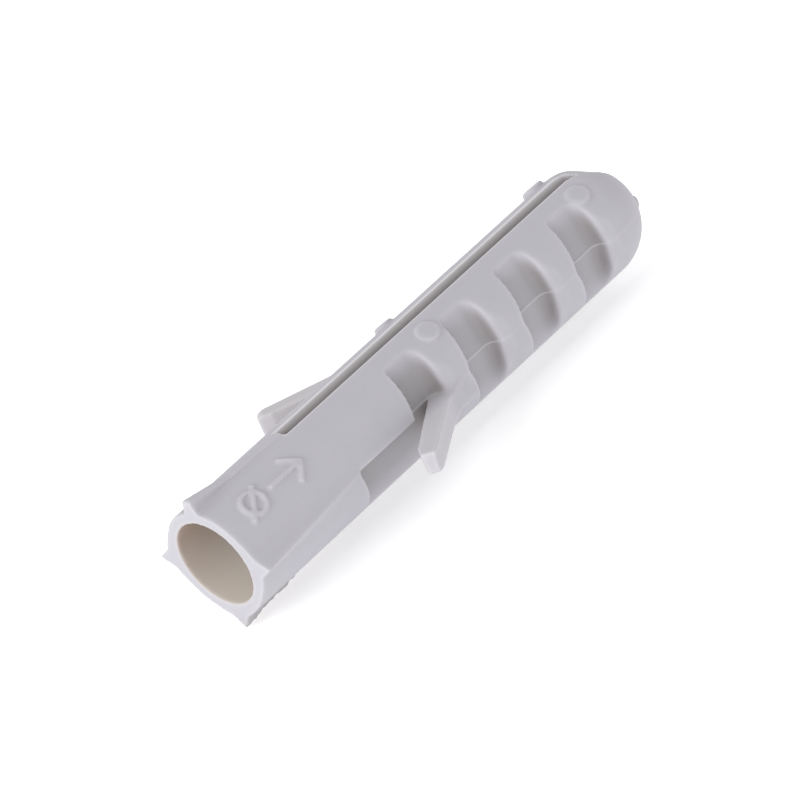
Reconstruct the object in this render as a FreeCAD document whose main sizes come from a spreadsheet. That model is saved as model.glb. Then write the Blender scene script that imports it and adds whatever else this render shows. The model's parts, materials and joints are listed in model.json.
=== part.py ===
import FreeCAD, Part
import Sketcher
import os

# Wall anchor: a nylon expansion plug for a 5 mm drilled hole, in millimetres.
# Origin: centre of the mouth. +X runs from the mouth to the nose, +Z up through the slot.
# The plug is one moulding whose members flex. Each member that flexes is its own solid here:
#   neck_sleeve            closed collar round the screw bore
#   anti_turn_ribs         four ribs on the collar that bite into the wall
#   raised_marks           generic relief on the collar: a diameter sign and an arrow
#   expansion_half_left    half on the +Y side, split from the other by the slot
#   expansion_half_right   half on the -Y side
#   locking_tongue_left    sprung barb of the left half, above the parting plane z = 0
#   locking_tongue_right   sprung barb of the right half, below the parting plane
# A half and its tongue, given half a turn about X, are the other half and its tongue.

SIZES = [
    ("plug_length", 25.0),
    ("body_diameter", 4.66),
    ("bore_diameter", 3.7),
    ("neck_length", 5.2),
    ("bore_stop", 0.7),
    ("bore_taper", 0.8),
    ("channel_mouth_diameter", 2.0),
    ("channel_tip_diameter", 0.9),
    ("channel_stop", 2.0),
    ("slot_width", 0.65),
    ("slot_stop", 1.8),
    ("parting_gap", 0.01),
    ("nose_flat_length", 3.0),
    ("rib_rise_top", 0.71),
    ("rib_rise_right", 0.6),
    ("rib_rise_bottom", 0.68),
    ("rib_rise_left", 0.82),
    ("rib_overrun", 1.0),
    ("rib_land", 0.1),
    ("rib_bar_radius", 1.4),
    ("top_rib_width", 0.58),
    ("top_rib_flare", 1.7),
    ("top_rib_step", 0.2),
    ("pocket_first", 9.6),
    ("pocket_pitch", 3.36),
    ("pocket_length", 2.1),
    ("pocket_depth", 0.72),
    ("pocket_draft", 11.6),
    ("pocket_mouth_round", 0.3),
    ("pocket_tip_round", 0.5),
    ("recess_offset", 1.0),
    ("tongue_hinge_place", 11.2),
    ("tongue_hinge_depth", 0.23),
    ("tongue_knuckle", 0.45),
    ("tongue_flare", 36.0),
    ("tongue_reach", 4.26),
    ("tongue_root_thickness", 0.96),
    ("tongue_end_thickness", 0.82),
    ("tongue_height", 1.0),
    ("nose_chamfer_length", 0.58),
    ("nose_chamfer_depth", 0.2),
    ("root_ramp_rise", 0.26),
    ("root_ramp_run", 1.4),
    ("running_clearance", 0.03),
    ("pad_diameter", 1.0),
    ("pad_rise", 0.15),
    ("pad_first", 12.7),
    ("pad_stop", 2.88),
    ("pad_angle", 32.0),
    ("gate_diameter", 0.45),
    ("gate_rise", 0.25),
    ("gate_offset", 0.75),
    ("mark_rise", 0.08),
    ("mark_stroke", 0.18),
    ("mark_angle", 42.0),
    ("ring_diameter", 1.2),
    ("ring_place", 1.75),
    ("slash_length", 1.56),
    ("arrow_tail", 2.75),
    ("arrow_tip", 4.5),
    ("arrow_head", 0.6),
]
POCKET_COUNT = 4
REACH = "8"                 # cutters and clipping blocks reach well past the plug
MARGIN = "1"                # a cutter starts this far before the face that it cuts
KEEN = "0.01"               # length of a wedge's keen end
X_AXIS = FreeCAD.Vector(1, 0, 0)
Y_AXIS = FreeCAD.Vector(0, 1, 0)
Z_AXIS = FreeCAD.Vector(0, 0, 1)
GATE_TURN_AXIS = FreeCAD.Vector(0, 0.43, -0.9)      # brings the gate right of the apex and below it

doc = FreeCAD.newDocument("wall_anchor")
sheet = doc.addObject("Spreadsheet::Sheet", "sizes")
for row, (alias, value) in enumerate(SIZES, start=1):
    sheet.set("A%d" % row, alias)
    sheet.set("B%d" % row, str(value))
    sheet.setAlias("B%d" % row, alias)
doc.recompute()


def formula(text):
    """Turn each <alias> into the sheet's cell of that name."""
    for alias, _ in sorted(SIZES, key=lambda pair: -len(pair[0])):
        text = text.replace("<" + alias + ">", "sizes." + alias)
    return text


# Places and radii that several members share.
BODY_R = "(<body_diameter> / 2)"
BORE_R = "(<bore_diameter> / 2)"
CHANNEL_R = "(<channel_mouth_diameter> / 2)"
FLOOR_Y = "(" + BODY_R + " - <pocket_depth>)"
HINGE_Y = "(" + BODY_R + " - <tongue_hinge_depth>)"
NOSE_CENTRE = "(<plug_length> - " + BODY_R + ")"
BORE_DEPTH = "(<neck_length> - <bore_stop>)"
CHANNEL_START = "(<neck_length> + <bore_taper>)"
RECESS_START = "(<neck_length> + <recess_offset>)"


def bind(thing, **formulas):
    """Tie properties of an object to the sheet."""
    for name, text in formulas.items():
        thing.setExpression(name, formula(text))
    return thing


def place(thing, x="0", y="0", z="0", axis=None, angle="0"):
    """Place an object by formulas, turned by an angle about an axis."""
    if axis is not None:
        thing.Placement = FreeCAD.Placement(FreeCAD.Vector(), FreeCAD.Rotation(axis, 1.0))
        thing.setExpression(".Placement.Rotation.Angle", formula(angle))
    thing.setExpression(".Placement.Base.x", formula(x))
    thing.setExpression(".Placement.Base.y", formula(y))
    thing.setExpression(".Placement.Base.z", formula(z))
    return thing


def box(name, length, width, height, **where):
    block = doc.addObject("Part::Box", name)
    return place(bind(block, Length=length, Width=width, Height=height), **where)


def cylinder(name, radius, height, **where):
    rod = doc.addObject("Part::Cylinder", name)
    return place(bind(rod, Radius=radius, Height=height), **where)


def axial_cylinder(name, radius, length, x="0"):
    """Cylinder round the plug's own axis, from x towards the nose."""
    return cylinder(name, radius, length, x=x, axis=Y_AXIS, angle="90")


def wedge(name, start, end, y_span, z_span, **where):
    """Block whose X extent changes from start, where y_span begins, to end, where it ends."""
    block = doc.addObject("Part::Wedge", name)
    bind(block, Xmin=start[0], Xmax=start[1], X2min=end[0], X2max=end[1], Ymin=y_span[0], Ymax=y_span[1])
    bind(block, Zmin=z_span[0], Zmax=z_span[1], Z2min=z_span[0], Z2max=z_span[1])
    return place(block, **where)


def fuse(name, things):
    joined = doc.addObject("Part::MultiFuse", name)
    joined.Shapes = things
    return joined


def common(name, things):
    shared = doc.addObject("Part::MultiCommon", name)
    shared.Shapes = things
    return shared


def cut(name, base, tool):
    rest = doc.addObject("Part::Cut", name)
    rest.Base = base
    rest.Tool = tool
    return rest


def group(name, things):
    members = doc.addObject("Part::Compound", name)
    members.Links = things
    return members


# --- Neck sleeve: a turned collar whose bore starts to close at its far end ---
def add_outline(sketch, start, corners):
    """Closed outline of straight lines whose corners sit at formulas (x, y)."""
    count = len(start)
    points = [FreeCAD.Vector(x, y, 0) for x, y in start]
    for i in range(count):
        sketch.addGeometry(Part.LineSegment(points[i], points[(i + 1) % count]), False)
    for i in range(count):
        sketch.addConstraint(Sketcher.Constraint("Coincident", i, 2, (i + 1) % count, 1))
    for i, (x, y) in enumerate(corners):
        if x == "0":
            sketch.addConstraint(Sketcher.Constraint("PointOnObject", i, 1, -2))
        else:
            along = sketch.addConstraint(Sketcher.Constraint("DistanceX", -1, 1, i, 1, start[i][0]))
            sketch.setExpression("Constraints[%d]" % along, formula(x))
        across = sketch.addConstraint(Sketcher.Constraint("DistanceY", -1, 1, i, 1, start[i][1]))
        sketch.setExpression("Constraints[%d]" % across, formula(y))


def build_neck_sleeve():
    body = doc.addObject("PartDesign::Body", "neck_sleeve")
    plane = next(f for f in body.Origin.OriginFeatures if f.Role == "XY_Plane")
    sketch = body.newObject("Sketcher::SketchObject", "sleeve_profile")
    sketch.AttachmentSupport = (plane, [""])
    sketch.MapMode = "FlatFace"
    closing = "<bore_stop> / (<bore_stop> + <bore_taper>)"
    corners = [
        ("0", BORE_R),
        ("0", BODY_R),
        ("<neck_length>", BODY_R),
        ("<neck_length>", BORE_R + " - (" + BORE_R + " - " + CHANNEL_R + ") * " + closing),
        (BORE_DEPTH, BORE_R),
    ]
    start = [(0, 1.8), (0, 2.4), (5.0, 2.4), (5.0, 1.5), (4.0, 1.8)]
    add_outline(sketch, start, corners)
    turned = body.newObject("PartDesign::Revolution", "sleeve_turned")
    turned.Profile = sketch
    turned.ReferenceAxis = (sketch, ["H_Axis"])
    turned.Angle = 360.0
    body.Tip = turned
    return body


# --- Anti-turn ribs: three sharp ridges that run out along the collar, and a blunt one on top ---
def rib_zone(name, reach):
    outside = axial_cylinder(name + "_outside", reach, "<neck_length>")
    inside = axial_cylinder(name + "_inside", BODY_R, "<neck_length>")
    return cut(name, outside, inside)


def ridge(name, reach, turn):
    """A square bar stands on its edge and dips towards the nose, so its crest meets the collar."""
    slope = "atan((" + reach + " + <rib_land> - " + BODY_R + ") / (<neck_length> + <rib_overrun>))"
    bar = doc.addObject("Part::Prism", name + "_bar")
    bar.Polygon = 4
    bind(bar, Circumradius="<rib_bar_radius>", Height=REACH)
    rise = reach + " + <rib_land> - <rib_bar_radius> + " + MARGIN + " * tan(" + slope + ")"
    place(bar, x="-" + MARGIN, z=rise, axis=Y_AXIS, angle="90 deg + " + slope)
    turned = place(group(name + "_turned", [bar]), axis=X_AXIS, angle=turn)
    return common(name, [turned, rib_zone(name + "_zone", reach)])


def top_rib(name, reach):
    """A blunt rib in line with the slot: a low strip, with a ramp up to full height at the mouth."""
    strip_top = BODY_R + " + <top_rib_step>"
    strip = box(name + "_strip", "<neck_length>", "<top_rib_width>", strip_top, y="-<top_rib_width> / 2")
    ramp = wedge(name + "_ramp", ("0", "<top_rib_flare>"), ("0", KEEN), (strip_top, reach),
                 ("0", "<top_rib_width>"), y="<top_rib_width> / 2", axis=X_AXIS, angle="90")
    stock = fuse(name + "_stock", [strip, ramp])
    return common(name, [stock, rib_zone(name + "_zone", reach)])


def build_ribs():
    ribs = [
        top_rib("rib_top", BODY_R + " + <rib_rise_top>"),
        ridge("rib_right", BODY_R + " + <rib_rise_right>", "90"),
        ridge("rib_bottom", BODY_R + " + <rib_rise_bottom>", "180"),
        ridge("rib_left", BODY_R + " + <rib_rise_left>", "270"),
    ]
    return group("anti_turn_ribs", ribs)


# --- Raised marks: a diameter sign and an arrow that points the way the plug goes in ---
def build_marks():
    ring_r = "(<ring_diameter> / 2)"
    ring = cut("ring", cylinder("ring_outside", ring_r, REACH, x="<ring_place>"),
               cylinder("ring_inside", ring_r + " - <mark_stroke>", REACH, x="<ring_place>"))
    stroke = box("stroke", "<mark_stroke>", "<slash_length>", REACH, y="-<slash_length> / 2")
    slash = place(group("slash", [stroke]), x="<ring_place> - <mark_stroke> / 2", axis=Z_AXIS, angle="45")
    shaft = box("arrow_shaft", "<arrow_tip> - <arrow_tail> - <arrow_head> / 2", "<mark_stroke>", REACH,
                x="<arrow_tail>", y="-<mark_stroke> / 2")
    head = wedge("arrow_point", ("-<arrow_head>", "<arrow_head>"), ("-" + KEEN, KEEN), ("0", "<arrow_head>"),
                 ("0", REACH), x="<arrow_tip> - <arrow_head>", axis=Z_AXIS, angle="-90")
    skin = cut("mark_skin", axial_cylinder("mark_outside", BODY_R + " + <mark_rise>", "<neck_length>"),
               axial_cylinder("mark_inside", BODY_R, "<neck_length>"))
    marks = [
        common("diameter_sign", [fuse("sign_stock", [ring, slash]), skin]),
        common("arrow", [fuse("arrow_stock", [shaft, head]), skin]),
    ]
    return place(group("raised_marks", marks), axis=X_AXIS, angle="<mark_angle>")


# --- One expansion half, as it lies on the +Y side with its tongue above the parting plane ---
def nose_envelope():
    """The nose is blunter seen from the side than from above: an ellipse bounds it up and down."""
    centre = "<plug_length> - <nose_flat_length>"
    outline = doc.addObject("Part::Ellipse", "nose_ellipse")
    place(bind(outline, MajorRadius="<nose_flat_length>", MinorRadius=BODY_R), x=centre,
          axis=X_AXIS, angle="90")
    nose = doc.addObject("Part::Extrusion", "nose_block")
    nose.Base = outline
    nose.DirMode = "Custom"
    nose.Dir = Y_AXIS
    nose.Solid = True
    bind(nose, LengthFwd=REACH, LengthRev=REACH)
    shank = box("shank_block", centre, "2 * " + REACH, "2 * " + REACH, y="-" + REACH, z="-" + REACH)
    return fuse("nose_envelope", [nose, shank])


def drafted_cutter(name, x, length, mouth_round, tip_round, upward):
    """Side pocket cutter: rounded floor corners, and a floor that falls away from the parting plane."""
    tall = "2 * " + REACH
    low = "-" + REACH
    stock = fuse(name + "_stock", [
        cylinder(name + "_mouth_corner", mouth_round, tall, x=mouth_round, y=mouth_round, z=low),
        cylinder(name + "_tip_corner", tip_round, tall, x=length + " - " + tip_round, y=tip_round, z=low),
        box(name + "_floor", length + " - " + mouth_round + " - " + tip_round, REACH, tall,
            x=mouth_round, z=low),
        box(name + "_mouth_wall", mouth_round, REACH, tall, y=mouth_round, z=low),
        box(name + "_tip_wall", tip_round, REACH, tall, x=length + " - " + tip_round, y=tip_round, z=low),
    ])
    lean = "<pocket_draft>" if upward else "-<pocket_draft>"
    leaned = place(group(name + "_leaned", [stock]), x=x, y=FLOOR_Y, axis=X_AXIS, angle=lean)
    side = box(name + "_side", "<plug_length> * 2", REACH, REACH, z="0" if upward else "-" + REACH)
    return common(name, [leaned, side])


def build_half_core():
    shank = axial_cylinder("half_shank", BODY_R, NOSE_CENTRE + " - <neck_length>", x="<neck_length>")
    ball = place(bind(doc.addObject("Part::Sphere", "half_nose"), Radius=BODY_R), x=NOSE_CENTRE)
    stock = common("half_stock", [fuse("half_round", [shank, ball]), nose_envelope()])

    # The land behind the tongue rises to meet the tongue's outer face.
    ramp_y = HINGE_Y
    top_y = BODY_R + " + <root_ramp_rise>"
    lean = "tan(<tongue_flare>) * (<root_ramp_rise> + <tongue_hinge_depth>)"
    ramp_x = "(<tongue_hinge_place> + 2 * <running_clearance>)"
    run_out = "<root_ramp_run> * (1 + <tongue_hinge_depth> / <root_ramp_rise>)"
    ramp = wedge("root_ramp", (ramp_x, ramp_x + " + " + lean + " + " + run_out),
                 (ramp_x + " + " + lean, ramp_x + " + " + lean + " + " + KEEN), (ramp_y, top_y),
                 ("0", "<tongue_height>"))
    solid = fuse("half_with_ramp", [stock, ramp])

    cone = doc.addObject("Part::Cone", "bore_end")
    place(bind(cone, Radius1=BORE_R, Radius2=CHANNEL_R, Height="<bore_stop> + <bore_taper>"),
          x=BORE_DEPTH, axis=Y_AXIS, angle="90")
    channel = doc.addObject("Part::Cone", "channel")
    place(bind(channel, Radius1=CHANNEL_R, Radius2="<channel_tip_diameter> / 2",
               Height="<plug_length> - <channel_stop> - " + CHANNEL_START), x=CHANNEL_START, axis=Y_AXIS, angle="90")
    slot = box("slot", "<plug_length> - <slot_stop>", REACH + " + <slot_width> / 2", "2 * " + REACH,
               y="-" + REACH, z="-" + REACH)
    parting = box("parting", "<plug_length> * 2", REACH + " + <parting_gap>", "2 * " + REACH,
                  y="-" + REACH, z="-" + REACH)
    cutters = [cone, channel, slot, parting]

    for number in range(POCKET_COUNT):
        x = "(<pocket_first> + %d * <pocket_pitch>)" % number
        sides = (False,) if number == 0 else (True, False)
        for upward in sides:
            name = "pocket_%d_%s" % (number + 1, "upper" if upward else "lower")
            cutters.append(drafted_cutter(name, x, "<pocket_length>", "<pocket_mouth_round>",
                                          "<pocket_tip_round>", upward))
    recess_length = "(<tongue_hinge_place> - " + RECESS_START + ")"
    cutters.append(drafted_cutter("tongue_recess", RECESS_START, recess_length,
                                  "<pocket_tip_round> / 2", "<pocket_tip_round> / 2", True))
    cutters.append(cylinder("knuckle_socket", "<tongue_knuckle> + <running_clearance>", REACH,
                            x="<tongue_hinge_place>", y=HINGE_Y))
    return cut("half_core", solid, fuse("half_cutters", cutters))


def surface_pads(name, turn):
    """Round pads that stand a little proud of a half, one near each end."""
    seat = "(" + BODY_R + " - <pad_rise>)"
    pads = []
    for number, x in enumerate(("<pad_first>", "<plug_length> - <pad_stop>"), start=1):
        pads.append(cylinder("%s_%d" % (name, number), "<pad_diameter> / 2", "2 * <pad_rise>", x=x,
                             y="-sin(" + turn + ") * " + seat, z="cos(" + turn + ") * " + seat,
                             axis=X_AXIS, angle=turn))
    return pads


def gate_stub():
    """The rough stub where the moulding was cut from its runner, beside the nose's apex."""
    stub = axial_cylinder("gate_rod", "<gate_diameter> / 2", "2 * <gate_rise>", BODY_R + " - <gate_rise>")
    lean = "asin(<gate_offset> / " + BODY_R + ")"
    return place(group("gate_stub", [stub]), x=NOSE_CENTRE, axis=GATE_TURN_AXIS, angle=lean)


# --- One locking tongue, on the +Y side above the parting plane ---
def build_tongue_core():
    inner = "-<tongue_knuckle>"
    z_span = ("<running_clearance>", "<tongue_height>")
    here = dict(x="<tongue_hinge_place>", y=HINGE_Y, axis=Z_AXIS, angle="90 - <tongue_flare>")
    blade = wedge("tongue_blade", (inner, inner + " + <tongue_root_thickness>"),
                  (inner, inner + " + <tongue_end_thickness>"), ("0", "<tongue_reach>"), z_span, **here)
    outside = inner + " - " + MARGIN
    chamfer = wedge("tongue_nose_cut", (outside, inner), (outside, inner + " + <nose_chamfer_depth>"),
                    ("<tongue_reach> - <nose_chamfer_length>", "<tongue_reach>"), ("0", REACH), **here)
    knuckle = cylinder("tongue_knuckle", "<tongue_knuckle>", "<tongue_height> - <running_clearance>",
                       x="<tongue_hinge_place>", y=HINGE_Y, z="<running_clearance>")
    return cut("tongue_core", fuse("tongue_stock", [blade, knuckle]), chamfer)


def half_turn(name, thing):
    return place(group(name, [thing]), axis=X_AXIS, angle="180")


core = build_half_core()
tongue = build_tongue_core()
nodes = {
    "neck_sleeve": build_neck_sleeve(),
    "anti_turn_ribs": build_ribs(),
    "raised_marks": build_marks(),
    "expansion_half_left": fuse("expansion_half_left", [core] + surface_pads("pad_left", "-<pad_angle>")),
    "expansion_half_right": fuse("expansion_half_right", [half_turn("half_core_turned", core)]
                                 + surface_pads("pad_right", "<pad_angle>") + [gate_stub()]),
    "locking_tongue_left": group("locking_tongue_left", [tongue]),
    "locking_tongue_right": half_turn("locking_tongue_right", tongue),
}
doc.recompute()

for thing in doc.Objects:
    assert "Invalid" not in thing.State and "Error" not in thing.State, thing.Name
os.makedirs("parts", exist_ok=True)
for name, thing in nodes.items():
    thing.Label = name
    shape = thing.Shape
    assert not shape.isNull() and shape.isValid(), name
    extent = shape.BoundBox
    print("%-22s solids %d  volume %8.3f  x %.3f..%.3f  y %.3f..%.3f  z %.3f..%.3f" % (
        name, len(shape.Solids), shape.Volume, extent.XMin, extent.XMax, extent.YMin, extent.YMax,
        extent.ZMin, extent.ZMax))
    shape.exportStep("parts/" + name + ".step")
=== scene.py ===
# %% [markdown]
# A moulded nylon wall anchor, built round its CAD frame.
# The real plug is one moulding: a collar with four ribs, two halves split by a slot, and two
# sprung tongues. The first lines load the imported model. Every position below is in its frame:
# the mouth is at x = 0, +X runs to the nose and +Z points up through the slot.

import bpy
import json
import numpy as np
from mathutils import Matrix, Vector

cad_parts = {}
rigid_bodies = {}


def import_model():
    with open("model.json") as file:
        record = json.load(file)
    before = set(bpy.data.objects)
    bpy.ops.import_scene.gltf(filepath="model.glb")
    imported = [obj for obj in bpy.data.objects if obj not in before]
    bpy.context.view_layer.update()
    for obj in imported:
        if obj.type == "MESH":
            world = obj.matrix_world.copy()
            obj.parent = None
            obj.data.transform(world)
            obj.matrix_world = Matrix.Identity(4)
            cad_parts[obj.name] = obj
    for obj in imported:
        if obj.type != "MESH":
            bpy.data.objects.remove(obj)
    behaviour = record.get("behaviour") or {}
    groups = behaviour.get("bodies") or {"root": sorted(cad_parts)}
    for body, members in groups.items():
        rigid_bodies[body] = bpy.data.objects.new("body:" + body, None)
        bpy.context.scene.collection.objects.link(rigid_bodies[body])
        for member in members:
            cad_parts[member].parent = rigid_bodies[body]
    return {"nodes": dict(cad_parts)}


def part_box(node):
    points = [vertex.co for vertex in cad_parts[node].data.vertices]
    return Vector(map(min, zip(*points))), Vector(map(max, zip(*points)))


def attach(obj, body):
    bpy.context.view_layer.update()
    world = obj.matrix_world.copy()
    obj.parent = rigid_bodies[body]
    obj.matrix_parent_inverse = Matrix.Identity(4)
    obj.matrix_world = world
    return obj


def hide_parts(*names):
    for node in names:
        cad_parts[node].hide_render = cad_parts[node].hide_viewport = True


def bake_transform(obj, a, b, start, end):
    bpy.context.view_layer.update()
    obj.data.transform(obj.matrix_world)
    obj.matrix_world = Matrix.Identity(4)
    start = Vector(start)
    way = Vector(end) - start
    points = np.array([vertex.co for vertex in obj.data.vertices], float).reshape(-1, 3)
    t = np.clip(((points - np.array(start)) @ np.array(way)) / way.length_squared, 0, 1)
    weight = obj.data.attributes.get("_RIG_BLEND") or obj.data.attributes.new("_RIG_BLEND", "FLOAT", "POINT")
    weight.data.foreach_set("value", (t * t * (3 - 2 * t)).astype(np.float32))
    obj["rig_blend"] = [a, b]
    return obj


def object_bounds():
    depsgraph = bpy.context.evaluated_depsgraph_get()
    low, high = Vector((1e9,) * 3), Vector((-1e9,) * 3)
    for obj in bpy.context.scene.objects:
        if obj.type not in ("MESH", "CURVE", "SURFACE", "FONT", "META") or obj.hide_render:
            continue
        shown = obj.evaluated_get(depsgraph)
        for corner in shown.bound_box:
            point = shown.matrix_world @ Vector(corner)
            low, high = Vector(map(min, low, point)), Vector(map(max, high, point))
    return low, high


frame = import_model()
cad_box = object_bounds()

# %% Tools for meshes, numbers and nodes
import json
import math
import random

import bmesh
import bpy
import numpy as np
from mathutils import Matrix, Vector
from mathutils.kdtree import KDTree

scene = bpy.context.scene
METRE = 0.001            # the plug is modelled in millimetres, and each finished piece is scaled once

# %% [markdown]
# The CAD model already fixes the main sizes, so they are read from its nodes and not typed again.
# Only shapes that the CAD keeps simple, such as the ribs' hollow flanks, get sizes of their own.

# %% Sizes
sleeve_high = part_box("neck_sleeve")[1]
BODY_R = sleeve_high.z / METRE
NECK_END = sleeve_high.x / METRE
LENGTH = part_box("expansion_half_left")[1].x / METRE
NOSE_X = LENGTH - BODY_R
BORE_R, BORE_DEPTH = 1.85, 4.5
CHANNEL_START, CHANNEL_END = 6.0, 23.0
CHANNEL_MOUTH_R, CHANNEL_TIP_R = 1.0, 0.45
SLOT_WIDTH, SLOT_END = 0.65, 23.25
FAR = 8.0                # cutters reach well past the plug
print("body radius %.2f, collar %.2f, length %.2f" % (BODY_R, NECK_END, LENGTH))

# %% [markdown]
# A Boolean needs closed solids, and each solid starts as a bmesh. These helpers turn a bmesh into
# an object, join or cut objects, and give back a plain mesh with no modifiers left on it.

# %% Helpers for solids
def as_object(name, bm):
    bmesh.ops.recalc_face_normals(bm, faces=bm.faces)
    mesh = bpy.data.meshes.new(name)
    bm.to_mesh(mesh)
    bm.free()
    thing = bpy.data.objects.new(name, mesh)
    scene.collection.objects.link(thing)
    return thing


def settle(thing):
    """Apply every modifier of an object to its mesh."""
    graph = bpy.context.evaluated_depsgraph_get()
    graph.update()
    mesh = bpy.data.meshes.new_from_object(thing.evaluated_get(graph))
    thing.modifiers.clear()
    thing.data = mesh
    return thing


def combine(base, operation, tools):
    """Unite, cut or intersect a solid with some tools, which are then thrown away."""
    for tool in tools:
        step = base.modifiers.new(operation.lower(), "BOOLEAN")
        step.operation = operation
        step.solver = "MANIFOLD"
        step.object = tool
    settle(base)
    for tool in tools:
        bpy.data.objects.remove(tool)
    return base


def copy_of(thing, name):
    twin = bpy.data.objects.new(name, thing.data.copy())
    scene.collection.objects.link(twin)
    return twin


def half_turned(thing, name):
    """A copy given half a turn about the plug's axis, for the other half."""
    twin = copy_of(thing, name)
    twin.data.transform(Matrix.Rotation(math.pi, 4, "X"))
    return twin


def prism(corners, low, high):
    """A solid whose plan is a few corners in x and y, from z = low to z = high."""
    bm = bmesh.new()
    face = bm.faces.new([bm.verts.new((x, y, low)) for x, y in corners])
    grown = bmesh.ops.extrude_face_region(bm, geom=[face])["geom"]
    raised = [v for v in grown if isinstance(v, bmesh.types.BMVert)]
    bmesh.ops.translate(bm, verts=raised, vec=(0, 0, high - low))
    return bm


def round_corner(bm, x, y, radius, segments=8):
    """Round the upright edge that stands at (x, y)."""
    edges = [e for e in bm.edges if all(abs(v.co.x - x) + abs(v.co.y - y) < 1e-4 for v in e.verts)]
    bmesh.ops.bevel(bm, geom=edges, offset=radius, offset_type="OFFSET", segments=segments,
                    profile=0.5, affect="EDGES", material=-1)


def axial_cone(name, x0, r0, x1, r1, segments=96):
    """A cylinder or cone along the plug's axis."""
    bm = bmesh.new()
    bmesh.ops.create_cone(bm, cap_ends=True, segments=segments, radius1=r0, radius2=r1, depth=x1 - x0)
    bmesh.ops.rotate(bm, verts=bm.verts, matrix=Matrix.Rotation(math.pi / 2, 3, "Y"))
    bmesh.ops.translate(bm, verts=bm.verts, vec=((x0 + x1) / 2, 0, 0))
    return as_object(name, bm)


# %% [markdown]
# The blank is a round bar with a domed nose. It could be a cylinder joined to a sphere, but one
# outline spun about the axis has no seam. The spin makes an edge every degree, so that the ribs
# can then be pulled out of it by moving vertices.

# %% Spin the blank
STATIONS = [NOSE_X - 0.4] + [6.6 - 0.15 * k for k in range(44)] + [0.0]


def spun_blank():
    bm = bmesh.new()
    apex = bm.verts.new((LENGTH, 0, 0))
    bmesh.ops.spin(bm, geom=[apex], cent=(NOSE_X, 0, 0), axis=(0, -1, 0), angle=math.pi / 2, steps=28)
    last = max(bm.verts, key=lambda v: v.co.z)
    for x in STATIONS:
        last = bmesh.ops.extrude_vert_indiv(bm, verts=[last])["verts"][0]
        last.co = (x, 0, BODY_R)
    last = bmesh.ops.extrude_vert_indiv(bm, verts=[last])["verts"][0]
    last.co = (0, 0, 0)
    bmesh.ops.spin(bm, geom=bm.verts[:] + bm.edges[:], cent=(0, 0, 0), axis=(1, 0, 0),
                   angle=2 * math.pi, steps=360, use_merge=True)
    bmesh.ops.remove_doubles(bm, verts=bm.verts, dist=1e-4)
    return bm


blank = spun_blank()
print("blank:", len(blank.faces), "faces")

# %% [markdown]
# The ribs stop the plug turning in the wall. Three of them are sharp crests whose hollow flanks
# sweep down into the collar, and they sink to nothing a little past it. The bottom crest is
# ragged, as a worn mould leaves it. Seen from the side, the nose is an ellipse.

# %% Pull out the ribs and blunt the nose
RIBS = {90: (3.13, 1.0), 180: (3.03, 1.5), 270: (3.15, 1.0)}   # degrees from the top: reach, bow
RIB_RUN = 6.3
FLANK, SPIKE = math.radians(40), math.radians(10)
SPIKE_SHARE = 0.56
RAGGED_END = 5.0
NOSE_FLAT = 3.0
rough = random.Random(11)
ragged = {round(x, 4): rough.uniform(-0.17, 0.03) for x in STATIONS if 0.3 < x < RAGGED_END}


def rib_height(angle, x):
    height = 0.0
    for degrees, (reach, bow) in RIBS.items():
        away = abs((angle - math.radians(degrees) + math.pi) % (2 * math.pi) - math.pi)
        if away < FLANK and x < RIB_RUN:
            crest = (reach - BODY_R) * (1 - (x / RIB_RUN) ** bow)
            if degrees == 180:
                crest *= 1 + ragged.get(round(x, 4), 0.0)
            spike = max(0.0, 1 - away / SPIKE) ** 1.4
            skirt = (1 - away / FLANK) ** 2
            height = max(height, crest * (SPIKE_SHARE * spike + (1 - SPIKE_SHARE) * skirt))
    return height


for v in blank.verts:
    x, y, z = v.co
    if x < RIB_RUN and y * y + z * z > 1:
        grow = 1 + rib_height(math.atan2(-y, z), x) / BODY_R
        v.co.y, v.co.z = y * grow, z * grow
    elif x > LENGTH - NOSE_FLAT:
        limit = BODY_R * math.sqrt(max(0.0, 1 - ((x - LENGTH + NOSE_FLAT) / NOSE_FLAT) ** 2))
        v.co.z = max(-limit, min(limit, z))
plug = as_object("plug", blank)

# %% [markdown]
# The top rib is blunt. It starts as a wedge at the mouth and runs on as a low strip to the slot.

# %% Top rib
TOP_WIDTH, TOP_REACH, TOP_FLARE, TOP_STRIP = 0.46, 2.9, 2.2, 0.14


def top_rib():
    bm = bmesh.new()
    side = [(0, 1.9), (NECK_END, 1.9), (NECK_END, BODY_R + TOP_STRIP * 0.6),
            (TOP_FLARE + 0.5, BODY_R + TOP_STRIP), (TOP_FLARE, BODY_R + TOP_STRIP + 0.03), (0, TOP_REACH)]
    face = bm.faces.new([bm.verts.new((x, -TOP_WIDTH / 2, z)) for x, z in side])
    grown = bmesh.ops.extrude_face_region(bm, geom=[face])["geom"]
    bmesh.ops.translate(bm, verts=[v for v in grown if isinstance(v, bmesh.types.BMVert)],
                        vec=(0, TOP_WIDTH, 0))
    bmesh.ops.recalc_face_normals(bm, faces=bm.faces)
    for v in bm.verts:                       # drafted sides, wider at the root
        v.co.y *= 2.2 if v.co.z < 2 else 1.0
    upper = [e for e in bm.edges if all(v.co.z > 2 for v in e.verts)
             and (abs(e.verts[0].co.y - e.verts[1].co.y) < 1e-4 or e.verts[0].co.x + e.verts[1].co.x < 0.1)]
    bmesh.ops.bevel(bm, geom=upper, offset=0.1, offset_type="OFFSET", segments=3, profile=0.5,
                    affect="EDGES", material=-1)
    return as_object("top_rib", bm)


# %% [markdown]
# Raised marks on a moulding are engraved in the mould. These are generic: a diameter sign and an
# arrow that points the way the plug goes in. They are drawn flat, and then wrapped on the collar.

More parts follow.
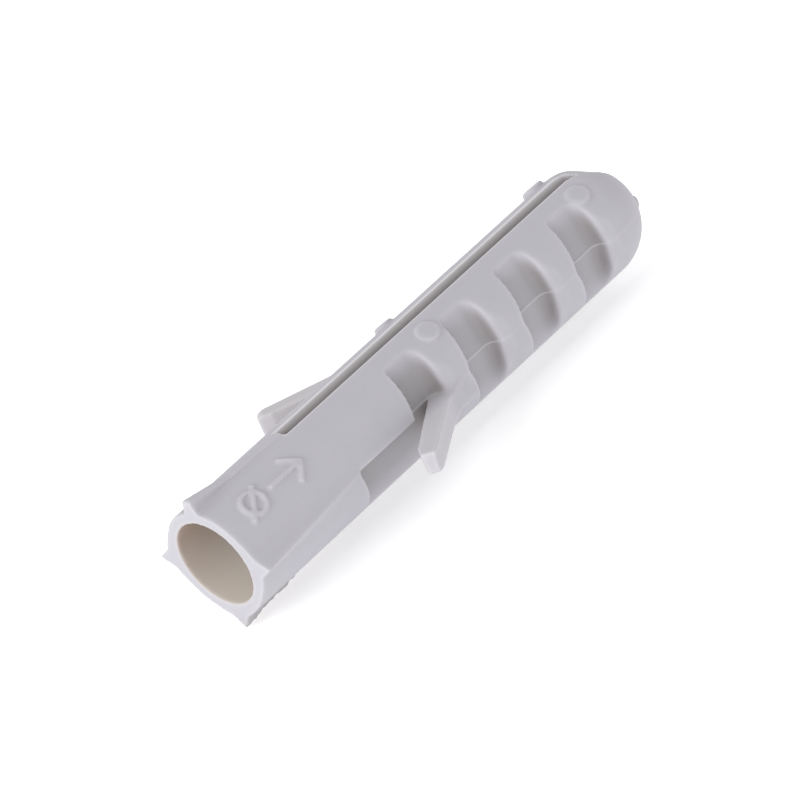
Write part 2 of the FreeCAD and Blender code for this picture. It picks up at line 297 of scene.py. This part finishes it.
# %% Raised marks
MARK_ANGLE, MARK_RISE, STROKE = math.radians(42), 0.1, 0.2
RING_R, RING_X = 0.6, 1.75
ARROW_TAIL, ARROW_TIP, ARROW_HEAD = 2.75, 4.5, 0.6
MARK_ROOT = 0.3


def flat_stroke(start, end):
    """A straight bar between two flat points, cut across so that it can be wrapped."""
    bm = bmesh.new()
    bmesh.ops.create_cube(bm, size=1)
    run = Vector(end) - Vector(start)
    turn = Matrix.Rotation(math.atan2(run.y, run.x), 4, "Z")
    middle = (Vector(start) + Vector(end)) / 2
    shape = (Matrix.Translation((middle.x, middle.y, 0)) @ turn
             @ Matrix.Diagonal((run.length + STROKE * 0.6, STROKE, MARK_ROOT + MARK_RISE, 1)))
    bmesh.ops.transform(bm, verts=bm.verts, matrix=shape)
    bmesh.ops.translate(bm, verts=bm.verts, vec=(0, 0, (MARK_RISE - MARK_ROOT) / 2))
    bmesh.ops.subdivide_edges(bm, edges=[e for e in bm.edges if e.calc_length() > STROKE * 2.5], cuts=8,
                              use_grid_fill=True)
    return bm


def flat_ring():
    bm = bmesh.new()
    for radius in (RING_R, RING_R - STROKE):
        bmesh.ops.create_circle(bm, segments=48, radius=radius)
    bmesh.ops.bridge_loops(bm, edges=bm.edges[:])
    grown = bmesh.ops.extrude_face_region(bm, geom=bm.faces[:])["geom"]
    bmesh.ops.translate(bm, verts=[v for v in grown if isinstance(v, bmesh.types.BMVert)],
                        vec=(0, 0, MARK_ROOT + MARK_RISE))
    bmesh.ops.translate(bm, verts=bm.verts, vec=(RING_X, 0, -MARK_ROOT))
    return bm


def wrapped(name, bm):
    for v in bm.verts:
        angle = MARK_ANGLE - v.co.y / BODY_R
        radius = BODY_R + v.co.z
        v.co = (v.co.x, -radius * math.sin(angle), radius * math.cos(angle))
    return as_object(name, bm)


slash = RING_R * 1.3 / math.sqrt(2)
marks = [
    wrapped("ring", flat_ring()),
    wrapped("slash", flat_stroke((RING_X - slash, -slash), (RING_X + slash, slash))),
    wrapped("shaft", flat_stroke((ARROW_TAIL, 0), (ARROW_TIP - 0.1, 0))),
    wrapped("barb_a", flat_stroke((ARROW_TIP, 0), (ARROW_TIP - ARROW_HEAD, ARROW_HEAD))),
    wrapped("barb_b", flat_stroke((ARROW_TIP, 0), (ARROW_TIP - ARROW_HEAD, -ARROW_HEAD))),
]
print("marks:", [m.name for m in marks])

# %% [markdown]
# Ejector pins push a moulding out of its mould, and each leaves a round pad with a flat top. The
# pins wear unevenly: those of the left half stand back further, so its pads are prouder.
# The gate, where the nylon flowed in, leaves a torn stub beside the nose's apex.

# %% Pads and gate stub
PADS = [(12.7, 32, 0.5, 0, 0.07), (22.12, 32, 0.5, 0, 0.07),        # x, place, radius, lean, rise
        (12.7, -32, 0.42, -6, 0.15), (22.12, -32, 0.5, -4, 0.2)]


def pad(number, x, degrees, radius, lean, rise):
    bm = bmesh.new()
    bmesh.ops.create_cone(bm, cap_ends=True, segments=48, radius1=radius, radius2=radius, depth=0.8)
    bmesh.ops.translate(bm, verts=bm.verts, vec=(0, 0, rise - 0.4))
    bmesh.ops.rotate(bm, verts=bm.verts, matrix=Matrix.Rotation(math.radians(-lean), 3, "X"))
    bmesh.ops.translate(bm, verts=bm.verts, vec=(x, 0, BODY_R))
    bmesh.ops.rotate(bm, verts=bm.verts, matrix=Matrix.Rotation(math.radians(degrees), 3, "X"))
    return as_object("pad_%d" % number, bm)


GATE = Vector((2.22, -0.68, -0.32))


def gate_stub():
    bm = bmesh.new()
    bmesh.ops.create_icosphere(bm, subdivisions=3, radius=0.33)
    for v in bm.verts:
        v.co *= 1 + rough.uniform(-0.16, 0.16)
        v.co.z *= 0.95
    out = GATE.normalized()
    bmesh.ops.rotate(bm, verts=bm.verts, matrix=out.to_track_quat("Z", "Y").to_matrix())
    bmesh.ops.translate(bm, verts=bm.verts, vec=Vector((NOSE_X, 0, 0)) + out * (BODY_R - 0.02))
    return as_object("gate", bm)


def vent_flash():
    """A scrap of nylon that crept into an air vent of the mould, high on the nose."""
    bm = bmesh.new()
    bmesh.ops.create_icosphere(bm, subdivisions=2, radius=0.09)
    bmesh.ops.scale(bm, verts=bm.verts, vec=(2.0, 1.0, 0.8))
    bmesh.ops.translate(bm, verts=bm.verts, vec=(24.12, -0.38, 1.56))
    return as_object("vent_flash", bm)


extras = [top_rib(), gate_stub(), vent_flash()] + marks
combine(plug, "UNION", extras + [pad(i, *row) for i, row in enumerate(PADS)])
print("plug with what stands on it:", len(plug.data.polygons), "faces")

# %% [markdown]
# The bore takes the screw. It closes to a narrow channel in the halves, and the slot splits them.

# %% Bore, channel and slot
slot_plan = prism([(NECK_END, -SLOT_WIDTH / 2), (SLOT_END, -SLOT_WIDTH / 2),
                   (SLOT_END, SLOT_WIDTH / 2), (NECK_END, SLOT_WIDTH / 2)], -FAR, FAR)
for side in (-1, 1):
    round_corner(slot_plan, NECK_END, side * SLOT_WIDTH / 2, 0.16, 4)
    round_corner(slot_plan, SLOT_END, side * SLOT_WIDTH / 2, 0.28, 6)
cutters = [
    axial_cone("bore", -1, BORE_R, BORE_DEPTH, BORE_R, 128),
    axial_cone("bore_end", BORE_DEPTH - 0.01, BORE_R, CHANNEL_START, CHANNEL_MOUTH_R, 128),
    axial_cone("channel", CHANNEL_START - 0.01, CHANNEL_MOUTH_R, CHANNEL_END, CHANNEL_TIP_R),
    as_object("slot", slot_plan),
]

# %% [markdown]
# The pockets weaken each half so that it folds outwards. Their floors fall away from the parting
# plane by the mould's draft, which leaves a ridge along z = 0. Each is a prism with two rounded
# floor corners, sheared to give the draft. The tongue lies over a longer recess of the same kind.

# %% Pockets and tongue recess
POCKET_FIRST, POCKET_PITCH, POCKET_COUNT = 9.6, 3.36, 4
POCKET_DEPTH, DRAFT, END_DRAFT = 0.72, math.tan(math.radians(11.6)), 0.2
POCKET_FLOOR, LIP = 1.93, [(2.01, 2.2), (2.14, 2.29), (2.45, 2.345)]     # lip points: along, and y
FLOOR_Y = BODY_R - POCKET_DEPTH
OVERLAP = 0.02           # upper and lower cutters pass each other a little
RECESS_START, HINGE_X, HINGE_Y = 6.2, 11.2, BODY_R - 0.23


def sheared(bm, upward, start):
    """Tip the floor down and lean the mouth end with height, above or below the parting plane."""
    for v in bm.verts:
        v.co.y -= v.co.z * DRAFT
        if v.co.x < start + 0.35:
            v.co.x += v.co.z * END_DRAFT
    if not upward:
        bmesh.ops.scale(bm, verts=bm.verts, vec=(1, 1, -1))
    return bm


def pocket(number, upward):
    x = POCKET_FIRST + number * POCKET_PITCH
    lip = [(x + along, y) for along, y in LIP]
    bm = prism([(x, FLOOR_Y), (x + POCKET_FLOOR, FLOOR_Y)] + lip + [(lip[-1][0], FAR), (x, FAR)],
               -OVERLAP, FAR)
    round_corner(bm, x + POCKET_FLOOR, FLOOR_Y, 0.35, 6)
    round_corner(bm, x, FLOOR_Y, 0.2, 4)
    return as_object("pocket_%d" % number, sheared(bm, upward, x))


def recess():
    plan = [(RECESS_START, FLOOR_Y), (HINGE_X, FLOOR_Y), (HINGE_X, FAR), (RECESS_START, FAR)]
    bm = prism(plan, -OVERLAP, FAR)
    round_corner(bm, HINGE_X, FLOOR_Y, 0.25, 4)
    return as_object("recess", sheared(bm, True, RECESS_START))


side_cutters = [recess(), pocket(0, False)]
side_cutters += [pocket(n, up) for n in range(1, POCKET_COUNT) for up in (True, False)]
cutters += [half_turned(c, c.name + "_turned") for c in side_cutters] + side_cutters
combine(plug, "DIFFERENCE", cutters)
print("plug, cut:", len(plug.data.polygons), "faces")

# %% [markdown]
# A tongue is a flat spring that stands out towards the mouth, and its root sweeps back on to the
# body. Its plan is drawn along the tongue: first the distance from the hinge, then across it.

# %% Tongues
FLARE = math.radians(36)
ALONG = Vector((-math.cos(FLARE), math.sin(FLARE)))
ACROSS = Vector((math.sin(FLARE), math.cos(FLARE)))
HINGE = Vector((HINGE_X, HINGE_Y))
TONGUE_HEIGHT, TONGUE_DRAFT, TIP_DRAFT = 1.0, 0.1, 0.03
TIP, NEAR_TIP, END_ROUND = 4.26, 3.7, 0.27       # distances along the tongue, and the end's radius
ROOT_SWEEP = [(11.74, 2.52), (12.38, 2.37), (12.9, 2.25)]
OUTER_EDGE = [(TIP, 0.316), (3.82, 0.40), (3.02, 0.40), (2.18, 0.43), (1.3, 0.46), (0.54, 0.508)]


def at(along, across):
    return HINGE + ALONG * along + ACROSS * across


def tongue():
    outer = [at(*p) for p in OUTER_EDGE] + [Vector(p) for p in ROOT_SWEEP]
    inner = [Vector((12.6, 1.5)), Vector((11.5, 1.3)), at(-0.35, -0.454), at(3.68, -0.454),
             at(TIP, -0.256)]
    bm = prism([tuple(p) for p in outer + inner], 0, TONGUE_HEIGHT)
    keen = [tuple(p) for p in outer[:-2]]
    for v in bm.verts:
        on_outer = any(abs(v.co.x - x) + abs(v.co.y - y) < 1e-4 for x, y in keen)
        near_tip = (v.co.xy - HINGE).dot(ALONG) > NEAR_TIP
        if v.co.z > 0.5 and on_outer:
            v.co.xy -= ACROSS * (TONGUE_DRAFT + TIP_DRAFT * near_tip)
    end = [e for e in bm.edges
           if all((v.co.xy - HINGE).dot(ALONG) > TIP - 0.06 and v.co.z > 0.5 for v in e.verts)]
    bmesh.ops.bevel(bm, geom=end, offset=END_ROUND, offset_type="OFFSET", segments=6, profile=0.5,
                    affect="EDGES", material=-1)
    return as_object("tongue", bm)


left = tongue()
combine(plug, "UNION", [half_turned(left, "tongue_turned"), left])
print("plug with tongues:", len(plug.data.polygons), "faces")

# %% [markdown]
# Moulded nylon has no truly sharp edge. A bevel would trip over the many Boolean corners, so the
# solid is rebuilt from small voxels and smoothed a little. The lips of the pockets on the nose
# side are rounder than the rest, and get more smoothing from a vertex group.

# %% Soften the edges
VOXEL = 0.0555
ALL_PASSES, LIP_PASSES = 5, 22
LIP_MIDDLE, LIP_FADE = 0.2, 0.2


def vertex_array(mesh, field="co"):
    flat = np.empty(len(mesh.vertices) * 3, np.float32)
    mesh.vertices.foreach_get(field, flat)
    return flat.reshape(-1, 3).astype(float)


def soften(thing):
    remesh = thing.modifiers.new("voxels", "REMESH")
    remesh.mode = "VOXEL"
    remesh.voxel_size = VOXEL
    remesh.use_smooth_shade = True
    settle(thing)
    places = vertex_array(thing.data)
    lips = np.zeros(len(places))
    for n in range(POCKET_COUNT):
        edge = POCKET_FIRST + n * POCKET_PITCH + POCKET_FLOOR
        near = np.clip(2 - np.abs(places[:, 0] - edge - LIP_MIDDLE) / LIP_FADE, 0, 1)
        lips = np.maximum(lips, near)
    lips *= np.clip((np.abs(places[:, 1]) - 0.7) / 0.4, 0, 1)
    weights = thing.vertex_groups.new(name="lips")
    for level in range(1, 11):
        chosen = np.flatnonzero(np.round(lips * 10) == level)
        weights.add(chosen.tolist(), level / 10, "REPLACE")
    for group, factor, passes in (("", 0.5, ALL_PASSES), ("lips", 0.5, LIP_PASSES)):
        smooth = thing.modifiers.new("smooth", "SMOOTH")
        smooth.factor, smooth.iterations, smooth.vertex_group = factor, passes, group
    settle(thing)
    thing.vertex_groups.clear()


soften(plug)
print("softened plug:", len(plug.data.polygons), "faces")

# %% [markdown]
# Where the two mould halves met there is a fine raised line. It lies on the parting plane z = 0,
# on the outside of the halves, and is pushed out of the surface along its normals.

# %% Parting line
def parting_line(mesh):
    places, normals = vertex_array(mesh), vertex_array(mesh, "normal")
    rise = np.clip(1 - np.abs(places[:, 2]) / 0.08, 0, 1) * 0.04
    outside = (np.abs(places[:, 1]) > 1.4) & (places[:, 0] > NECK_END) & (np.abs(normals[:, 2]) < 0.5)
    wander = 0.6 + 0.4 * np.sin(places[:, 0] * 5.1) * np.sin(places[:, 0] * 1.7 + 1)
    level = np.where(np.abs(places[:, 1]) < BODY_R - 0.15, 1.0, 0.5)      # stronger in the pockets
    level[places[:, 0] > NOSE_X] = 0.3
    places += normals * (rise * outside * wander * level)[:, None]
    mesh.vertices.foreach_set("co", places.astype(np.float32).ravel())


parting_line(plug.data)

# %% [markdown]
# Raised edges are painted paler, as a painted highlight. How far each point stands out from its
# neighbours says whether it is a raised edge or a crease. It is measured now, on the whole plug,
# because cutting the plug into its moving pieces would add false edges.

# %% Measure edges and creases
def stand_out(mesh, rounds=3):
    places, normals = vertex_array(mesh), vertex_array(mesh, "normal")
    ends = np.empty(len(mesh.edges) * 2, np.int32)
    mesh.edges.foreach_get("vertices", ends)
    a, b = ends.reshape(-1, 2).T
    count = np.bincount(ends, minlength=len(places)).clip(1)

    def mean_of_neighbours(values):
        total = np.zeros_like(values)
        np.add.at(total, a, values[b])
        np.add.at(total, b, values[a])
        return total / count.reshape((-1,) + (1,) * (values.ndim - 1))

    wide = places
    for _ in range(4):
        wide = mean_of_neighbours(wide)
    value = ((places - wide) * normals).sum(1)
    for _ in range(rounds):
        value = mean_of_neighbours(value)
    return value


edge_tone = np.clip(stand_out(plug.data) / 0.02, -1, 1)
print("edge tone from %.2f to %.2f" % (edge_tone.min(), edge_tone.max()))

# %% [markdown]
# The plug moves in five pieces: the collar, two halves that spread, and two tongues that fold.
# Each is cut from the one softened solid, so their surfaces meet exactly when the plug is at rest.

# %% Cut the five pieces
ROOT_BACK, ROOT_BELOW, UNDER = -0.6, -0.5, -0.06


def block(name, low, high):
    bm = bmesh.new()
    bmesh.ops.create_cube(bm, size=1)
    size = [h - l for l, h in zip(low, high)]
    centre = [(h + l) / 2 for l, h in zip(low, high)]
    bmesh.ops.transform(bm, verts=bm.verts,
                        matrix=Matrix.Translation(centre) @ Matrix.Diagonal((*size, 1)))
    return as_object(name, bm)


def root_block(name):
    """The space round the left tongue and its root."""
    corners = [at(ROOT_BACK, ROOT_BELOW), at(FAR, ROOT_BELOW), at(FAR, FAR), at(ROOT_BACK, FAR)]
    return as_object(name, prism([tuple(p) for p in corners], UNDER, FAR))


def piece(name, source, operation, tool):
    made = copy_of(source, name)
    return combine(made, operation, [tool])


collar = piece("neck_skin", plug, "INTERSECT", block("b", (-FAR, -FAR, -FAR), (NECK_END, FAR, FAR)))
beyond = piece("beyond", plug, "DIFFERENCE", block("b", (-FAR, -FAR, -FAR), (NECK_END, FAR, FAR)))
far_side = piece("far_side", beyond, "INTERSECT", block("b", (0, 0, -FAR), (4 * FAR, FAR, FAR)))
near_side = piece("near_side", beyond, "DIFFERENCE", block("b", (0, 0, -FAR), (4 * FAR, FAR, FAR)))
skins = {
    "neck_skin": collar,
    "tongue_left_skin": piece("tongue_left_skin", far_side, "INTERSECT", root_block("r")),
    "half_left_skin": piece("half_left_skin", far_side, "DIFFERENCE", root_block("r")),
    "tongue_right_skin": piece("tongue_right_skin", near_side, "INTERSECT",
                               half_turned(root_block("r"), "q")),
    "half_right_skin": piece("half_right_skin", near_side, "DIFFERENCE",
                             half_turned(root_block("r"), "q")),
}
for thing in [o for o in scene.objects if o.name.split(".")[0] in ("r", "beyond", "far_side", "near_side")]:
    bpy.data.objects.remove(thing)

# %% [markdown]
# Each piece gets its edge tones back from the nearest point of the whole plug. The edges of the
# cut faces are marked sharp, so that the cut doesn't bend the shading at the surface.

# %% Finish the pieces
tree = KDTree(len(plug.data.vertices))
for i, v in enumerate(plug.data.vertices):
    tree.insert(v.co, i)
tree.balance()

CUT_ANGLE = math.radians(62)
for name, thing in skins.items():
    mesh = thing.data
    mesh.name = name
    tone = [edge_tone[tree.find(v.co)[1]] for v in mesh.vertices]
    for old in list(mesh.attributes):
        if old.name in ("edge_tone", "sculpt_face_set"):
            mesh.attributes.remove(old)
    mesh.attributes.new("edge_tone", "FLOAT", "POINT").data.foreach_set("value", tone)
    bm = bmesh.new()
    bm.from_mesh(mesh)
    bmesh.ops.dissolve_degenerate(bm, dist=1e-4, edges=bm.edges)
    for face in bm.faces:
        face.smooth = True
    for edge in bm.edges:
        edge.smooth = edge.calc_face_angle(0) < CUT_ANGLE
    open_edges = sum(1 for e in bm.edges if not e.is_manifold)
    triangles = sum(len(f.verts) - 2 for f in bm.faces)
    bm.to_mesh(mesh)
    bm.free()
    mesh.transform(Matrix.Scale(METRE, 4))
    print("%-18s %6d triangles, %d open edges" % (name, triangles, open_edges))
bpy.data.objects.remove(plug)

# %% [markdown]
# Shader maths reads best as plain sums. This class wraps one socket, so that 1 - mask * 0.5 adds
# the Math nodes, and one method adds any other node.

# %% Sockets that add up
class Wire:
    def __init__(self, tree, socket=None):
        self.tree, self.socket = tree, socket

    def add(self, kind, settings=None, sockets=None, out=0):
        """Add a node: its settings first, and then the values or wires of its sockets."""
        node = self.tree.nodes.new(kind)
        for key, value in (settings or {}).items():
            if key == "stops":
                ramp = node.color_ramp.elements
                while len(ramp) < len(value):
                    ramp.new(1.0)
                for stop, (place, colour) in zip(ramp, value):
                    stop.position, stop.color = place, (*colour, 1)
            else:
                setattr(node, key, value)
        for key, value in (sockets or {}).items():
            if isinstance(value, Wire):
                self.tree.links.new(value.socket, node.inputs[key])
            else:
                node.inputs[key].default_value = value
        return Wire(self.tree, node.outputs[out])

    def maths(self, operation, *values, clamp=False):
        sockets = {i: v for i, v in enumerate(values)}
        return self.add("ShaderNodeMath", {"operation": operation, "use_clamp": clamp}, sockets)

    def __add__(self, other):
        return self.maths("ADD", self, other)

    def __sub__(self, other):
        return self.maths("SUBTRACT", self, other)

    def __rsub__(self, other):
        return self.maths("SUBTRACT", other, self)

    def __mul__(self, other):
        return self.maths("MULTIPLY", self, other)

    def __truediv__(self, other):
        return self.maths("DIVIDE", self, other)

    __radd__, __rmul__ = __add__, __mul__

    def clamped(self):
        return self.maths("ADD", self, 0.0, clamp=True)

    def size(self):
        return self.maths("ABSOLUTE", self)


# %% [markdown]
# The nylon is pale grey with a trace of violet, and a little translucent. Deep inside the bore and
# the slot it is painted warmer and darker, and its pockets, corners and creases are painted darker,
# all of it painted shade. Its raised edges and parting line are painted paler, a painted highlight,
# and its deep surfaces and tongues get a painted glow. Fine streaks follow the flow of the plastic
# from the gate, and the skin of the mould leaves a satin grain. All of it comes from where a point lies.

# %% Nylon colours
NYLON_DARK = (0.455, 0.443, 0.486, 1)
NYLON_LIGHT = (0.487, 0.474, 0.515, 1)
STREAK = (0.512, 0.500, 0.540, 1)
DEEP_WARM_SHADE = (0.455, 0.357, 0.292, 1)
SUNK_SHADE = (0.30, 0.285, 0.29, 1)
CORNER_SHADE = (0.21, 0.185, 0.17, 1)
CREASE_SHADE = (0.30, 0.265, 0.245, 1)
EDGE_HIGHLIGHT = (0.72, 0.715, 0.735, 1)
SEAM_HIGHLIGHT = (0.66, 0.655, 0.675, 1)
NO_GLOW = (0, 0, 0, 1)
BORE_GLOW = (0.15, 0.165, 0.155, 1)
SLOT_GLOW = (0.19, 0.185, 0.175, 1)
TONGUE_GLOW = (0.03, 0.028, 0.022, 1)
FAR_TONGUE_GLOW = (0.05, 0.042, 0.025, 1)
print("nylon colours:", NYLON_DARK[:3], "to", NYLON_LIGHT[:3])


# %% Nylon
def moulded_nylon():
    material = bpy.data.materials.new("satin_grey_nylon")
    material.use_nodes = True
    nodes = material.node_tree.nodes
    surface = nodes["Principled BSDF"]
    w = Wire(material.node_tree)
    place = w.add("ShaderNodeTexCoord", out=3)
    axes = w.add("ShaderNodeSeparateXYZ", None, {0: place})
    x, y, z = (Wire(w.tree, axes.socket.node.outputs[i]) / METRE for i in range(3))
    radius = w.maths("SQRT", y * y + z * z)
    tone = w.add("ShaderNodeAttribute", {"attribute_name": "edge_tone"}, out=2)

    def mix(factor, first, second, blend="MIX"):
        return w.add("ShaderNodeMix", {"data_type": "RGBA", "blend_type": blend},
                     {0: factor, 6: first, 7: second}, out=2)

    def noise(scale, detail, stretch=(1, 1, 1), out=0):
        spread = w.add("ShaderNodeMapping", None, {0: place, 3: stretch})
        return w.add("ShaderNodeTexNoise", None, {"Vector": spread, "Scale": scale, "Detail": detail}, out)

    # depth: 0 on the outside, 1 well inside the bore or the slot
    depth = ((2.25 - radius) / 0.9).clamped()
    in_bore = ((BORE_R + 0.08 - radius) * 12).clamped() * ((NECK_END + 0.6 - x) * 2).clamped()
    in_slot = ((SLOT_WIDTH / 2 + 0.12 - y.size()) * 12).clamped() * ((x - NECK_END + 0.1) * 8).clamped()
    in_slot = in_slot * ((SLOT_END + 0.05 - x) * 8).clamped()
    deep = w.maths("MAXIMUM", in_bore, in_slot * depth * 0.4)

    # sunk: 1 on the floors of the pockets and of the recess; band: the corner at a pocket's nose end
    beside = ((y.size() - 0.75) * 5).clamped() * ((x - NECK_END - 0.5) * 4).clamped()
    beside = beside * ((22.5 - x) * 4).clamped()
    sunk = ((2.25 - radius) * 2.2).clamped() * beside
    recessed = sunk * ((HINGE_X - x) * 4).clamped()
    along = w.maths("MODULO", x - POCKET_FIRST, POCKET_PITCH)
    band = (1 - (along - POCKET_FLOOR).size() / 0.6).clamped() * ((2.32 - radius) * 2.6).clamped() * beside
    band = w.maths("POWER", band, 1.6)
    blade = ((y.size() - 2.5) * 4).clamped() * ((HINGE_X + 0.4 - x) * 2).clamped()
    blade = blade * ((x - NECK_END - 0.8) * 2).clamped()

    open_sky = w.add("ShaderNodeAmbientOcclusion", {"samples": 12}, {"Distance": 0.9 * METRE}, 1)
    crevice = w.maths("POWER", 1 - open_sky, 1.3)
    parting = ((0.05 - z.size()) * 25).clamped() * ((y.size() - 1.3) * 6).clamped()
    parting = parting * ((x - NECK_END) * 4).clamped()

    mottle = noise(900, 4)
    streaks = noise(700, 3, (0.12, 1, 1))
    colour = mix(mottle, NYLON_DARK, NYLON_LIGHT)
    colour = mix(streaks * 0.35, colour, STREAK)
    # painted shade: the bore and the deep slot are painted warmer and darker
    colour = mix(deep * 0.9, colour, DEEP_WARM_SHADE)
    # painted shade: the floors of the pockets, and more the floor of the tongue recess, are painted darker
    colour = mix(sunk * 0.36 + recessed * 0.24, colour, SUNK_SHADE)
    # painted shade: a dark band in the corner at each pocket's nose end
    colour = mix(band * 0.48, colour, CORNER_SHADE)
    # painted shade: the ambient occlusion paints creases and crevices darker
    colour = mix((crevice * 0.9).clamped(), colour, CREASE_SHADE)
    # painted highlight: raised edges are painted paler
    colour = mix((tone * 0.3).clamped(), colour, EDGE_HIGHLIGHT)
    # painted highlight: the parting ridge is painted paler, more so on the pocket floors
    colour = mix(parting * (0.1 + sunk * 0.35), colour, SEAM_HIGHLIGHT)
    w.tree.links.new(colour.socket, surface.inputs["Base Color"])

    grain = noise(9000, 2)
    roughness = 0.46 + mottle * 0.12 + streaks * 0.05
    w.tree.links.new(roughness.socket, surface.inputs["Roughness"])
    bump = w.add("ShaderNodeBump", None, {"Strength": 0.25, "Distance": 0.00002,
                                          "Height": grain + streaks * 2.0})
    w.tree.links.new(bump.socket, surface.inputs["Normal"])
    # painted light: an emission glow, brighter low in the bore, near the top of the slot and on the tongues,
    # stands in for light that soaks through the thin walls
    low = ((0.9 - z) / 2.6).clamped()
    glow = mix(in_bore * low, NO_GLOW, BORE_GLOW)
    near_top = (1.05 - (BODY_R - radius) / 0.42).clamped()
    glow = mix(in_slot * near_top, glow, SLOT_GLOW)
    glow = mix(blade, glow, TONGUE_GLOW)
    glow = mix(blade * (y * 2).clamped(), glow, FAR_TONGUE_GLOW)
    w.tree.links.new(glow.socket, surface.inputs["Emission Color"])
    surface.inputs["Emission Strength"].default_value = 1.0
    surface.inputs["IOR"].default_value = 1.5
    surface.inputs["Specular IOR Level"].default_value = 0.35
    return material


nylon = moulded_nylon()
for thing in skins.values():
    thing.data.materials.clear()
    thing.data.materials.append(nylon)
for node in frame["nodes"].values():
    node.data.materials.clear()
    node.data.materials.append(nylon)

# %% [markdown]
# Each skin stands for its CAD solid and moves with its body. The halves bend out of the collar
# over their first two millimetres, and each tongue bends at its root, as thin nylon does.

# %% Tie the pieces to their bodies
BEND_HALF = 2.0
BEND_TONGUE = 1.2
turned = Matrix.Rotation(math.pi, 3, "X")

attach(skins["neck_skin"], "neck")
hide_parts("neck_sleeve", "anti_turn_ribs", "raised_marks")
for side in ("left", "right"):
    half, blade = skins["half_%s_skin" % side], skins["tongue_%s_skin" % side]
    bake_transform(half, "neck", "half_" + side, start=(NECK_END * METRE, 0, 0),
             end=((NECK_END + BEND_HALF) * METRE, 0, 0))
    root = [Vector((*at(d, 0), 0)) * METRE for d in (0, BEND_TONGUE)]
    if side == "right":
        root = [turned @ p for p in root]
    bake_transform(blade, "half_" + side, "tongue_" + side, start=tuple(root[0]), end=tuple(root[1]))
    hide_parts("expansion_half_" + side)
    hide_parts("locking_tongue_" + side)

# %% [markdown]
# The plug lies on a plain pale floor under soft light, and the camera looks at its mouth.

# %% Floor, light and camera
FLOOR_GLOW = 0.36


def floor():
    bm = bmesh.new()
    bmesh.ops.create_grid(bm, x_segments=1, y_segments=1, size=1.5)
    ground = as_object("floor", bm)
    ground.data.transform(Matrix.Translation((0, 0, cad_box[0].z - 0.0001)))
    paint = bpy.data.materials.new("pale_floor")
    paint.use_nodes = True
    cover = paint.node_tree.nodes["Principled BSDF"]
    cover.inputs["Base Color"].default_value = (0.9, 0.9, 0.9, 1)
    cover.inputs["Roughness"].default_value = 0.9
    cover.inputs["Emission Color"].default_value = (1, 1, 1, 1)
    cover.inputs["Emission Strength"].default_value = FLOOR_GLOW
    ground.data.materials.append(paint)
    return ground


floor()

ROOM_STRENGTH = 0.80
world = bpy.data.worlds.new("soft_room")
world.use_nodes = True
world.node_tree.nodes["Background"].inputs["Color"].default_value = (1, 1, 1, 1)
world.node_tree.nodes["Background"].inputs["Strength"].default_value = ROOM_STRENGTH
scene.world = world

AIM = Vector((12.5, 2.075, -1.408)) * METRE


def soft_light(name, direction, distance, size, power):
    lamp = bpy.data.lights.new(name, "AREA")
    lamp.shape, lamp.size, lamp.energy = "DISK", size, power
    holder = bpy.data.objects.new(name, lamp)
    scene.collection.objects.link(holder)
    way = Vector(direction).normalized()
    holder.location = AIM + way * distance
    holder.rotation_mode = "QUATERNION"
    holder.rotation_quaternion = way.to_track_quat("Z", "Y")
    return holder


LAMP_WAY, LAMP_DISTANCE, LAMP_SIZE, LAMP_POWER = (-1.0, -0.05, 0.5), 0.4, 0.25, 0.74
soft_light("front", LAMP_WAY, LAMP_DISTANCE, LAMP_SIZE, LAMP_POWER)

AZIMUTH, ELEVATION, ROLL = (math.radians(d) for d in (-35.729, 25.569, -25.288))
DISTANCE, LENS = 0.240, 276.75
back = Vector((math.sin(AZIMUTH) * math.cos(ELEVATION), -math.cos(AZIMUTH) * math.cos(ELEVATION),
               math.sin(ELEVATION)))
lens = bpy.data.cameras.new("camera")
lens.lens, lens.sensor_width = LENS, 36
lens.clip_start, lens.clip_end = 0.01, 10
camera = bpy.data.objects.new("camera", lens)
scene.collection.objects.link(camera)
camera.location = AIM + back * DISTANCE
camera.rotation_mode = "QUATERNION"
level = back.to_track_quat("Z", "Y")
camera.rotation_quaternion = level @ Matrix.Rotation(ROLL, 3, "Z").to_quaternion()
scene.camera = camera
scene.view_settings.view_transform = "Standard"
print("camera at", [round(c * 1000, 2) for c in camera.location])

# %% Finish
bpy.context.view_layer.update()
